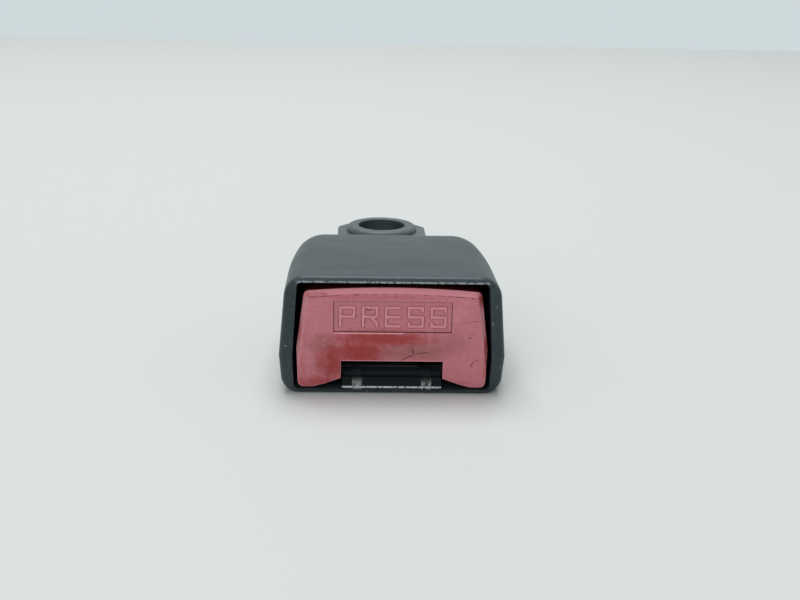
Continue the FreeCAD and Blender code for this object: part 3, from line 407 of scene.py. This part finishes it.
# Painted reflection: the top is painted lighter towards the rear, where the grazing view reflects more room
rear_reflection = stretch(housing_tree, along, front_y + REFLECTION_STARTS, front_y + REFLECTION_FULL, 0.0, REAR_REFLECTION_SHARE)
colour = coats(
    housing_tree, HOUSING_COLOUR,
    (times(housing_tree, grained["Cloud"], CLOUD_SHARE), HOUSING_DUST_AND_REFLECTION),
    (powder, HOUSING_DUST_AND_REFLECTION),
    (rear_reflection, HOUSING_DUST_AND_REFLECTION),
    (times(housing_tree, grained["Dust"], SPECK_SHARE), HOUSING_DUST_AND_REFLECTION),
    (times(housing_tree, lined, SCRATCH_SHARE), HOUSING_DUST_AND_REFLECTION),
    (times(housing_tree, worn, WORN_SHARE), SCUFF_COLOUR),
    (highest(housing_tree, brow, nicks), SCUFF_COLOUR),
)
feed(housing_tree, housing_shader, colour, stretch(housing_tree, grained["Cloud"], 0.0, 1.0, 0.4, 0.48),
     bump(housing_tree, grained["Height"], distance=0.00004, strength=0.5))
housing_shader.inputs["Specular Tint"].default_value = HOUSING_SHEEN
finish_nodes(housing_material, "upper_cover", "lower_cover")

# Release button
# Moulded in red plastic that has faded to a chalky pink. Thumbs have rubbed it back to red under
# the panel, beside the slot and at the top right corner, and it carries scratches and nicks.
# The letter tops, the top bevel, the side facets and the edges of the panel and slot carry painted
# highlights; the top under the lid's brow and the walls round the panel carry painted shade.
BUTTON_FADED = (0.6, 0.192, 0.23, 1)
BUTTON_RED = (0.38, 0.03, 0.03, 1)
BUTTON_DIRTY = (0.34, 0.12, 0.11, 1)
# Colour of grime, also used for painted shade on the walls and along the panel's edge
BUTTON_GRIME_AND_SHADE = (0.1, 0.014, 0.018, 1)
# Pale colour of the chalky haze and worn edges, also used for painted highlights
BUTTON_CHALK_AND_HIGHLIGHT = (0.9, 0.38, 0.43, 1)
# Painted highlight of the top bevel, and painted shade of the top under the lid's brow
BUTTON_BEVEL_HIGHLIGHT = (1.0, 0.37, 0.43, 1)
BUTTON_TOP_SHADE = (0.12, 0.012, 0.014, 1)
# Shares of dirt, chalky colour, painted highlights, and grime and painted shade laid over the faded red
DIRTY_SHARE = 0.75
LETTER_TOP_HIGHLIGHT_SHARE = 0.45
SIDE_FACET_LIGHT_SHARE = 0.7
LINED_SHARE = 0.4
UNDER_BEVEL_SHARE = 0.7
RUBBED_EDGE_SHARE = 0.6
SLOT_LIP_HIGHLIGHT_SHARE = 0.6
PANEL_LINE_DIRT_AND_SHADE_SHARE = 0.85
# Shares of a patch's half size where it starts and is full, how ragged it is, and the depth under
# which it doesn't show
PATCH_STARTS = 1.9
PATCH_FULL = 0.2
RAGGEDNESS = 1.3
PATCH_LEAST = 0.1
# Rubbed and dirty patches: x and z of the middle, half width, half height and depth
RUBBED = (
    (-0.0030, 0.0128, 0.0120, 0.0020, 1.0),
    (-0.0088, 0.0088, 0.0062, 0.0044, 0.95),
    (-0.0160, 0.0062, 0.0038, 0.0056, 0.85),
    (-0.0190, 0.0004, 0.0058, 0.0020, 0.75),
    (0.0236, 0.0236, 0.0013, 0.0024, 0.8),
    (0.0249, 0.0105, 0.0006, 0.0110, 0.7),
    (-0.0246, 0.0150, 0.0006, 0.0042, 0.6),
    (-0.0205, 0.0246, 0.0050, 0.0008, 0.5),
    (0.0150, 0.0004, 0.0060, 0.0010, 0.5),
    (-0.0060, 0.0241, 0.0160, 0.0009, 0.42),
    (-0.0236, 0.0060, 0.0010, 0.0120, 0.35),
)
DIRTY = (
    (0.0055, 0.0095, 0.0100, 0.0030, 1.0),
    (-0.0180, 0.0108, 0.0048, 0.0028, 0.9),
    (0.0140, 0.0112, 0.0070, 0.0036, 0.7),
    (-0.0195, 0.0045, 0.0020, 0.0040, 0.6),
)
# Scratches and nicks: x and z of both ends, and half width
BUTTON_MARKS = (
    (0.0020, 0.0062, 0.0060, 0.0083, 0.00017),
    (0.0056, 0.0083, 0.0102, 0.0089, 0.00015),
    (0.0059, 0.0080, 0.0051, 0.0106, 0.00017),
    (0.0203, 0.0132, 0.0208, 0.0132, 0.00022),
    (0.0209, 0.0048, 0.0216, 0.0068, 0.00014),
    (0.0216, 0.0067, 0.0233, 0.0070, 0.00008),
    (-0.0074, 0.0214, -0.0063, 0.0203, 0.00016),
    (-0.0063, 0.0204, -0.0055, 0.0209, 0.00014),
    (-0.0182, 0.0119, -0.0171, 0.0109, 0.00008),
    (0.0176, 0.0170, 0.0242, 0.0182, 0.00005),
    (-0.0101, 0.0190, -0.0095, 0.0184, 0.00014),
    (0.0052, 0.0246, 0.0053, 0.0240, 0.00009),
)
# The sunk panel, the margin inside its edge, the dark line of grime and painted shade along the edge,
# and the ends of the painted highlight line under it
PANEL_HALF_WIDTH = 0.0156
PANEL_HALF_HEIGHT = 0.00425
PANEL_MIDDLE_Z = 0.0187
PANEL_FLOOR_Y = -0.1493
PANEL_BOTTOM_Z = PANEL_MIDDLE_Z - PANEL_HALF_HEIGHT
PANEL_MARGIN = 0.0002
LINE_INSIDE = 0.00012
LINE_OUTSIDE = 0.00002
PANEL_LIP_LEFT = -0.0147
PANEL_LIP_RIGHT = 0.0025
PANEL_LIP_FADE = 0.001
# The slot's upper edge, the bevel and crown of the button's top edge, and where the painted shade on the top
# begins
SLOT_TOP_Z = 0.0062
SLOT_HALF_WIDTH = 0.0134
BEVEL_Z = 0.02525
BEVEL_REAR_Y = -0.1485
CROWN = 0.0011
CROWN_HALF_WIDTH = 0.0233
# Fade of the drawn lines
LINE_FADE = 0.0001

button_material, button_tree, button_shader = new_material("faded_red_plastic")
place = place_on_piece(button_tree)
across, along, up = axes_of(button_tree, place)
turned_side, turned_front, turned_up = axes_of(button_tree, normal_of_piece(button_tree))
grained = use_group(button_tree, grain, Place=place, Scale=3400.0)
worn = use_group(button_tree, worn_edges, Place=place, Width=0.0004, Scale=500.0, Amount=0.8)["Mask"]
lined = use_group(button_tree, scratches, Place=place, Stretch=(260.0, 50.0, 420.0), Amount=0.42,
                  Turn=(0.0, 0.5, 0.0))["Mask"]
torn_noise = noise(button_tree, place, scale=480.0, detail=7.0, roughness=0.82)
ragged = times(button_tree, maths(button_tree, "SUBTRACT", torn_noise, 0.5), RAGGEDNESS)


def patches_of(spots, full):
    """Soft ragged patches of the button's front."""
    found = []
    for x, z, half_width, half_height, depth in spots:
        away = ellipse(button_tree, place, x, z, half_width, half_height)
        found.append(stretch(button_tree, away, PATCH_STARTS, PATCH_FULL, 0.0, depth))
    torn = maths(button_tree, "ADD", highest(button_tree, *found), ragged)
    return stretch(button_tree, torn, PATCH_LEAST, full)


rubbed = patches_of(RUBBED, full=1.0)
soiled = patches_of(DIRTY, full=1.1)
hazy = stretch(button_tree, noise(button_tree, place, scale=130.0, detail=3.0, roughness=0.6),
               0.55, 0.8, 0.0, 0.2)
mottled = stretch(button_tree, noise(button_tree, place, scale=1500.0, detail=4.0, roughness=0.75),
                  0.42, 0.75, 0.0, 0.34)
broken = stretch(button_tree, noise(button_tree, place, scale=800.0, detail=4.0, roughness=0.7),
                 0.3, 0.5, 0.6, 1.0)

# How far a point lies outside the panel's edge, negative inside it
beside = maths(button_tree, "SUBTRACT", maths(button_tree, "ABSOLUTE", across), PANEL_HALF_WIDTH)
from_middle = maths(button_tree, "ABSOLUTE", maths(button_tree, "SUBTRACT", up, PANEL_MIDDLE_Z))
from_panel = highest(button_tree, beside, maths(button_tree, "SUBTRACT", from_middle, PANEL_HALF_HEIGHT))
in_panel = stretch(button_tree, from_panel, -PANEL_MARGIN, -PANEL_MARGIN * 2)
panel_line_dirt_and_shade = times(button_tree, within(button_tree, from_panel, -LINE_INSIDE, LINE_OUTSIDE, LINE_FADE),
                   PANEL_LINE_DIRT_AND_SHADE_SHARE)

# Grime and painted shade along the panel's edge and on the walls of the panel and the letters, the painted
# shade least where they face up
wall_dirt_and_shade = times(button_tree, stretch(button_tree, turned_front, -0.93, -0.8),
             stretch(button_tree, from_panel, LINE_FADE, -LINE_FADE),
             stretch(button_tree, turned_up, 0.5, -0.1, 0.25, 1.0))
grime_and_shade = highest(button_tree, wall_dirt_and_shade, panel_line_dirt_and_shade)

# Painted highlights: the letters' tops, the panel's lower edge, the slot's upper edge, and the side facets
# painted lighter
letter_top_highlight = times(button_tree, in_panel, LETTER_TOP_HIGHLIGHT_SHARE,
                   stretch(button_tree, along, PANEL_FLOOR_Y - 0.0002, PANEL_FLOOR_Y - 0.0003))
panel_lip_highlight = times(
    button_tree,
    within(button_tree, up, PANEL_BOTTOM_Z - 0.00035, PANEL_BOTTOM_Z - 0.0001, LINE_FADE),
    within(button_tree, across, PANEL_LIP_LEFT, PANEL_LIP_RIGHT, PANEL_LIP_FADE))
slot_lip_highlight = times(
    button_tree,
    within(button_tree, up, SLOT_TOP_Z, SLOT_TOP_Z + 0.0001, LINE_FADE),
    within(button_tree, across, -SLOT_HALF_WIDTH, SLOT_HALF_WIDTH, LINE_FADE * 2), SLOT_LIP_HIGHLIGHT_SHARE)
# Painted light: the side facets are painted lighter, where they face sideways and get less light
side_facet_light = within(button_tree, maths(button_tree, "ABSOLUTE", turned_side), 0.5, 0.85, 0.15)

# The bevel along the top edge, which sinks towards both sides and carries a painted highlight, the dark line
# under it, and the painted shade on the top behind the bevel
share_out = maths(button_tree, "DIVIDE", across, CROWN_HALF_WIDTH)
crown_up = maths(button_tree, "ADD", times(button_tree, share_out, share_out, CROWN), up)
bevel_highlight = stretch(button_tree, crown_up, BEVEL_Z - LINE_FADE, BEVEL_Z + LINE_FADE)
under_bevel = times(
    button_tree,
    within(button_tree, crown_up, BEVEL_Z - 0.0004, BEVEL_Z - 0.0002, LINE_FADE),
    stretch(button_tree, noise(button_tree, place, scale=260.0, detail=4.0, roughness=0.7), 0.46, 0.56))
top_shade = stretch(button_tree, along, BEVEL_REAR_Y, BEVEL_REAR_Y + 0.0006)

colour = coats(
    button_tree, BUTTON_FADED,
    (hazy, BUTTON_CHALK_AND_HIGHLIGHT),
    (times(button_tree, soiled, DIRTY_SHARE), BUTTON_DIRTY),
    (letter_top_highlight, BUTTON_CHALK_AND_HIGHLIGHT),
    (mottled, BUTTON_RED),
    (times(button_tree, side_facet_light, SIDE_FACET_LIGHT_SHARE), BUTTON_CHALK_AND_HIGHLIGHT),
    (bevel_highlight, BUTTON_BEVEL_HIGHLIGHT),
    (rubbed, BUTTON_RED),
    (top_shade, BUTTON_TOP_SHADE),
    (times(button_tree, lined, LINED_SHARE), BUTTON_GRIME_AND_SHADE),
    (times(button_tree, under_bevel, UNDER_BEVEL_SHARE), BUTTON_GRIME_AND_SHADE),
    (times(button_tree, worn, RUBBED_EDGE_SHARE), BUTTON_CHALK_AND_HIGHLIGHT),
    (times(button_tree, highest(button_tree, panel_lip_highlight, slot_lip_highlight), broken), BUTTON_CHALK_AND_HIGHLIGHT),
    (times(button_tree, grime_and_shade, broken), BUTTON_GRIME_AND_SHADE),
    (strokes(button_tree, place, BUTTON_MARKS), BUTTON_GRIME_AND_SHADE),
)
feed(button_tree, button_shader, colour, stretch(button_tree, rubbed, 0.0, 1.0, 0.5, 0.36),
     bump(button_tree, grained["Height"], distance=0.00002, strength=0.4))
finish_nodes(button_material, "release_button")

# Word on the button
# The raised function word of such buttons, in plain block letters. They stand on the floor of the
# sunk panel and are moulded with the button.
# Filled cells of each letter's rows, from the top. R has cells half as large, for its slanting leg.
WORD = "PRESS"
LETTER_ROWS = {
    "P": ("11111", "10001", "10001", "11111", "10000", "10000", "10000"),
    "R": ("1111111111", "1111111111", "1100000011", "1100000011", "1100000011", "1100000011",
          "1111111111", "1111111110", "1100011100", "1100001110", "1100000111", "1100000011",
          "1100000011", "1100000011"),
    "E": ("11111", "10000", "10000", "11111", "10000", "10000", "11111"),
    "S": ("11111", "10001", "10000", "11111", "00001", "10001", "11111"),
}
LETTER_WIDTH = 0.00452
LETTER_HEIGHT = 0.00592
LETTER_STEP = 0.0060
LETTER_RAISE = 0.00036
LETTER_CORNER = 0.00018
LETTER_SOFTNESS = 0.00012
# Turn of an edge in radians under which its faces are joined, and above which it counts as sharp
FLAT_TURN = math.radians(2)
SHARP_TURN = 1.0


def soften(mesh, edges, width, segments):
    """Rounds some edges of a letter."""
    bmesh.ops.bevel(mesh, geom=edges, offset=width, segments=segments, profile=0.5, affect="EDGES",
                    material=-1)


def block_letter(rows):
    """A raised letter, lying flat on z = 0 with its middle at the origin, from its rows of cells."""
    columns = len(rows[0])
    letter_mesh = bmesh.new()
    bmesh.ops.create_grid(letter_mesh, x_segments=columns, y_segments=len(rows), size=0.5)
    empty = []
    for face in letter_mesh.faces:
        middle = face.calc_center_median()
        row = rows[int((0.5 - middle.y) * len(rows))]
        if row[int((middle.x + 0.5) * columns)] == "0":
            empty.append(face)
    bmesh.ops.delete(letter_mesh, geom=empty, context="FACES")
    bmesh.ops.scale(letter_mesh, verts=letter_mesh.verts, vec=(LETTER_WIDTH, LETTER_HEIGHT, 1))
    bmesh.ops.dissolve_limit(letter_mesh, angle_limit=FLAT_TURN, verts=letter_mesh.verts,
                             edges=letter_mesh.edges)
    raised = bmesh.ops.extrude_face_region(letter_mesh, geom=letter_mesh.faces[:], use_keep_orig=True)
    top_corners = [item for item in raised["geom"] if isinstance(item, bmesh.types.BMVert)]
    bmesh.ops.translate(letter_mesh, verts=top_corners, vec=(0, 0, LETTER_RAISE))
    bmesh.ops.recalc_face_normals(letter_mesh, faces=letter_mesh.faces)
    upright = [edge for edge in letter_mesh.edges
               if abs(edge.verts[0].co.z - edge.verts[1].co.z) > LETTER_RAISE / 2]
    soften(letter_mesh, upright, LETTER_CORNER, segments=2)
    top_edges = [edge for edge in letter_mesh.edges
                 if edge.is_manifold and edge.calc_face_angle(0) > SHARP_TURN
                 and all(vert.co.z > LETTER_RAISE / 2 for vert in edge.verts)]
    soften(letter_mesh, top_edges, LETTER_SOFTNESS, segments=1)
    return letter_mesh


word_mesh = bmesh.new()
for index, letter in enumerate(WORD):
    letter_mesh = block_letter(LETTER_ROWS[letter])
    bmesh.ops.translate(letter_mesh, verts=letter_mesh.verts,
                        vec=((index - (len(WORD) - 1) / 2) * LETTER_STEP, 0, 0))
    letter_data = bpy.data.meshes.new("letter")
    letter_mesh.to_mesh(letter_data)
    letter_mesh.free()
    word_mesh.from_mesh(letter_data)
    bpy.data.meshes.remove(letter_data)
bmesh.ops.rotate(word_mesh, verts=word_mesh.verts, matrix=Matrix.Rotation(math.pi / 2, 3, "X"))
bmesh.ops.translate(word_mesh, verts=word_mesh.verts, vec=(0, PANEL_FLOOR_Y, PANEL_MIDDLE_Z))
word = add_piece(word_mesh, "button_word")
word.data.materials.append(button_material)
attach(word, "button")

# Tongue guide
# A black moulded lead-in under the slot. Belt tongues have worn its two ribs and its front lip to
# pale grey.
GUIDE_COLOUR = (0.006, 0.008, 0.009, 1)
# Painted fill light: a lighter colour for the shaded inside of the slot
GUIDE_INSIDE_FILL = (0.05, 0.065, 0.07, 1)
GUIDE_WORN = (0.6, 0.65, 0.65, 1)
GUIDE_ROUGHNESS = 0.6
GUIDE_SHINE = 0.1
# Each rib's sides from the middle, and the heights between which its wear fades in downwards
RIB_INNER = 0.0079
RIB_OUTER = 0.0105
RIB_WEAR_TOP = 0.0019
RIB_WEAR_FULL = -0.0006
RIB_WORN_SHARE = 0.7
# The worn band of the front lip
LIP_LOW = -0.00085
LIP_HIGH = -0.00058
LIP_FADE = 0.00018
LIP_DEPTH = 0.0002

guide_material, guide_tree, guide_shader = new_material("worn_black_acetal")
place = place_on_piece(guide_tree)
across, along, up = axes_of(guide_tree, place)
guide_front_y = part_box("tongue_guide")[0].y
grained = use_group(guide_tree, grain, Place=place, Scale=2600.0)
on_rib = within(guide_tree, maths(guide_tree, "ABSOLUTE", across), RIB_INNER, RIB_OUTER, LINE_FADE)
rib_patch = noise(guide_tree, place, scale=620.0, detail=2.0, roughness=0.5)
rib_worn = times(guide_tree, on_rib, stretch(guide_tree, rib_patch, 0.3, 0.75),
                 stretch(guide_tree, up, RIB_WEAR_TOP, RIB_WEAR_FULL), RIB_WORN_SHARE)
lip_patch = noise(guide_tree, place, scale=1500.0, detail=4.0, roughness=0.7)
lip_worn = times(guide_tree, within(guide_tree, up, LIP_LOW, LIP_HIGH, LIP_FADE),
                 stretch(guide_tree, along, guide_front_y + LIP_DEPTH * 3, guide_front_y + LIP_DEPTH),
                 stretch(guide_tree, lip_patch, 0.36, 0.5))
# Painted fill light: the guide is painted lighter deeper inside the slot, where shade falls
inside_fill = stretch(guide_tree, along, guide_front_y + 0.002, guide_front_y + 0.005)
colour = coats(guide_tree, GUIDE_COLOUR, (inside_fill, GUIDE_INSIDE_FILL),
               (highest(guide_tree, rib_worn, lip_worn), GUIDE_WORN))
feed(guide_tree, guide_shader, colour, GUIDE_ROUGHNESS,
     bump(guide_tree, grained["Height"], distance=0.00003, strength=0.4))
guide_shader.inputs["Specular IOR Level"].default_value = GUIDE_SHINE
finish_nodes(guide_material, "tongue_guide")

# Strap and bush
# Flat steel bar and a turned steel ring, both coated dark grey and dusty, with the coating rubbed
# thin along their edges. Inside the ring's hole the colour is painted darker, a painted shade.
COAT_COLOUR = (0.068, 0.084, 0.09, 1)
COAT_DUST = (0.24, 0.25, 0.24, 1)
COAT_RUBBED = (0.33, 0.35, 0.36, 1)
# Painted shade inside the ring's hole
COAT_HOLE_SHADE = (0.03, 0.05, 0.055, 1)
HOLE_RADIUS = 0.0088
HOLE_FADE = 0.0002
COAT_CLOUD_SHARE = 0.35
COAT_SPECK_SHARE = 0.4
COAT_SCRATCH_SHARE = 0.4
COAT_WORN_SHARE = 0.5

coat_material, coat_tree, coat_shader = new_material("dark_coated_steel")
place = place_on_piece(coat_tree)
across, along, _ = axes_of(coat_tree, place)
grained = use_group(coat_tree, grain, Place=place, Scale=1900.0)
worn = use_group(coat_tree, worn_edges, Place=place, Width=0.0006, Scale=600.0, Amount=0.5)["Mask"]
lined = use_group(coat_tree, scratches, Place=place, Amount=0.46)["Mask"]
from_axis = maths(coat_tree, "SQRT", maths(coat_tree, "ADD", times(coat_tree, across, across),
                                           times(coat_tree, along, along)))
# Painted shade: the coating is painted darker inside the hole
hole_shade = stretch(coat_tree, from_axis, HOLE_RADIUS + HOLE_FADE, HOLE_RADIUS)
colour = coats(
    coat_tree, COAT_COLOUR,
    (times(coat_tree, grained["Cloud"], COAT_CLOUD_SHARE), COAT_DUST),
    (times(coat_tree, grained["Dust"], COAT_SPECK_SHARE), COAT_DUST),
    (times(coat_tree, lined, COAT_SCRATCH_SHARE), COAT_RUBBED),
    (times(coat_tree, worn, COAT_WORN_SHARE), COAT_RUBBED),
    (hole_shade, COAT_HOLE_SHADE),
)
feed(coat_tree, coat_shader, colour, stretch(coat_tree, grained["Cloud"], 0.0, 1.0, 0.42, 0.55),
     bump(coat_tree, grained["Height"], distance=0.00003, strength=0.5))
finish_nodes(coat_material, "anchor_strap", "anchor_bush")

# Steel of the mechanism
# Channel, bridge, latch, pins, rivets and screws are zinc plated or phosphated steel, with the lines
# that pressing and turning leave. The springs are oiled wire.
DRAWN_SHARE = 0.5
ROUGHNESS_RANGE = 0.15
# Name, bright and dull colour, least roughness, metallic level and nodes of each finish
STEEL_FINISHES = (
    ("dark_phosphated_steel", (0.045, 0.047, 0.05, 1), (0.12, 0.12, 0.12, 1), 0.5, 0.6,
     ("frame", "latch", "frame_bridge")),
    ("zinc_plated_steel", (0.4, 0.41, 0.4, 1), (0.24, 0.235, 0.22, 1), 0.34, 1.0,
     ("cover_screws", "strap_rivets", "latch_cam_pin", "pivot_pin", "pivot_clip", "ejector_guide_rod")),
    ("spring_wire", (0.3, 0.3, 0.31, 1), (0.16, 0.15, 0.14, 1), 0.28, 1.0,
     ("button_spring_right", "button_spring_left", "latch_spring", "ejector_spring")),
)

for name, bright, dull, smooth, metal, nodes in STEEL_FINISHES:
    steel_material, steel_tree, steel_shader = new_material(name)
    place = place_on_piece(steel_tree)
    grained = use_group(steel_tree, grain, Place=place, Scale=2200.0)
    drawn = use_group(steel_tree, scratches, Place=place, Amount=0.5)["Mask"]
    colour = coats(steel_tree, bright, (grained["Cloud"], dull),
                   (times(steel_tree, drawn, DRAWN_SHARE), bright))
    rough = stretch(steel_tree, grained["Cloud"], 0.0, 1.0, smooth, smooth + ROUGHNESS_RANGE)
    feed(steel_tree, steel_shader, colour, rough,
         bump(steel_tree, grained["Height"], distance=0.00001, strength=0.3))
    steel_shader.inputs["Metallic"].default_value = metal
    finish_nodes(steel_material, *nodes)

# Ejector
# A black acetal slide with a satin moulded face, polished where the tongue pushes it.
EJECTOR_COLOUR = (0.008, 0.008, 0.009, 1)
EJECTOR_POLISHED = (0.016, 0.017, 0.018, 1)

ejector_material, ejector_tree, ejector_shader = new_material("black_acetal")
place = place_on_piece(ejector_tree)
grained = use_group(ejector_tree, grain, Place=place)
feed(ejector_tree, ejector_shader, coats(ejector_tree, EJECTOR_COLOUR, (grained["Cloud"], EJECTOR_POLISHED)),
     stretch(ejector_tree, grained["Cloud"], 0.0, 1.0, 0.45, 0.3),
     bump(ejector_tree, grained["Height"], distance=0.00001, strength=0.3))
finish_nodes(ejector_material, "ejector")

bpy.context.scene.view_settings.view_transform = "Standard"
